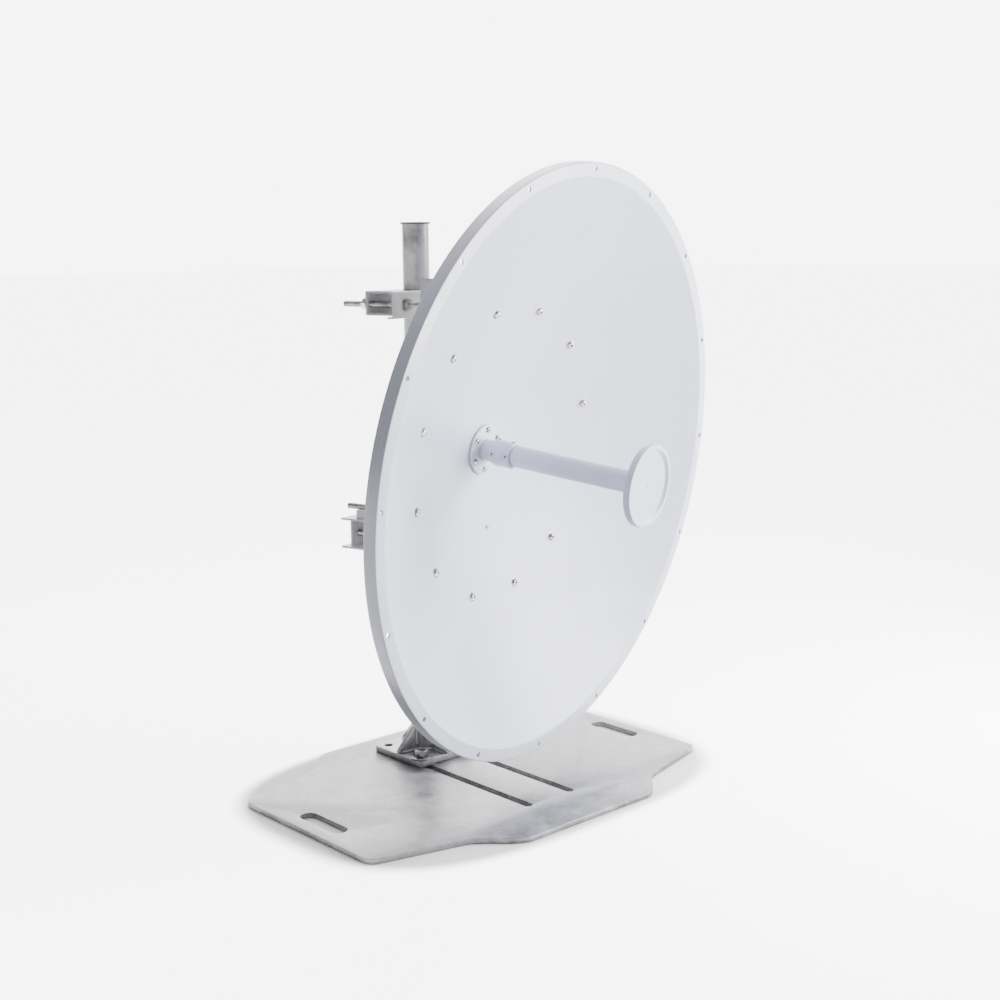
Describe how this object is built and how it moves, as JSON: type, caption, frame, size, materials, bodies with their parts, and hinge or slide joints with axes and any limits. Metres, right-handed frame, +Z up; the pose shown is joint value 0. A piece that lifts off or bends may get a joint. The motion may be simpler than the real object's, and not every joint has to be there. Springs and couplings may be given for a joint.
{
  "type": "microwave dish antenna",
  "caption": "White parabolic microwave dish antenna with front feed, clamped to a short galvanised pole that stands on a flat steel display plate.",
  "frame": {"origin": "middle of the stand plate's underside", "axes": "+Z up; X along the stand plate's long way; -Y is the side the dish looks to, turned 14 degrees towards +X; the pole stands behind the origin on +Y"},
  "size_m": [0.8911, 0.545, 0.9606],
  "materials": {
    "plate_steel": "satin zinc-coated steel plate with light scratches",
    "galvanised": "hot-dip galvanised steel",
    "zinc": "zinc-plated fasteners and threaded rod",
    "white_paint": "semi-gloss white powder coat",
    "bracket_paint": "satin off-white powder coat",
    "grey_plastic": "moulded pole cap",
    "alloy": "plain machined alloy"
  },
  "bodies": {
    "base": {"base_plate": "plate_steel", "foot_flange": "galvanised", "gusset_front": "galvanised", "gusset_back": "galvanised", "gusset_left": "galvanised", "gusset_right": "galvanised", "pole": "galvanised", "pole_cap": "grey_plastic", "foot_bolt_back_right": "zinc", "foot_bolt_front_left": "zinc", "foot_bolt_front_right": "zinc"},
    "mast_clamp": {"lower_front_jaw": "bracket_paint", "lower_lug_left": "bracket_paint", "lower_lug_right": "bracket_paint", "lower_rear_jaw": "bracket_paint", "lower_rod_left": "zinc", "lower_rod_right": "zinc", "lower_tie_left": "zinc", "lower_tie_right": "zinc", "pivot_bolt_left": "zinc", "pivot_bolt_right": "zinc", "upper_front_jaw": "bracket_paint", "upper_rear_jaw": "bracket_paint", "upper_rod_left": "zinc", "upper_rod_right": "zinc"},
    "elevation_nuts": {"elevation_nut_front_left": "zinc", "elevation_nut_front_right": "zinc", "elevation_nut_rear_left": "zinc", "elevation_nut_rear_right": "zinc"},
    "antenna": {"reflector": "white_paint", "back_ring": "bracket_paint", "back_bracket": "bracket_paint", "feed_flange": "white_paint", "feed_tube": "white_paint", "feed_collar": "white_paint", "sub_reflector": "white_paint", "feed_hub": "alloy", "waveguide": "alloy", "waveguide_flange": "alloy"}
  },
  "joints": [
    {"name": "azimuth_swivel", "type": "hinge", "parent": "base", "child": "mast_clamp", "pos_m": [0, 0.14, 0], "axis": [0, 0, 1], "range_deg": [-180, 180]},
    {"name": "elevation_tilt", "type": "hinge", "parent": "mast_clamp", "child": "antenna", "pos_m": [0.01331, 0.08663, 0.381], "axis": [-0.9703, -0.2419, 0], "range_deg": [-4, 3]},
    {"name": "nut_travel", "type": "slide", "parent": "mast_clamp", "child": "elevation_nuts", "axis": [0.2419, -0.9703, 0], "range_m": [-0.0197, 0.0261]}
  ],
  "couplings": [
    {"joint": "nut_travel", "follows": "elevation_tilt", "m_per_rad": -0.37056}
  ]
}
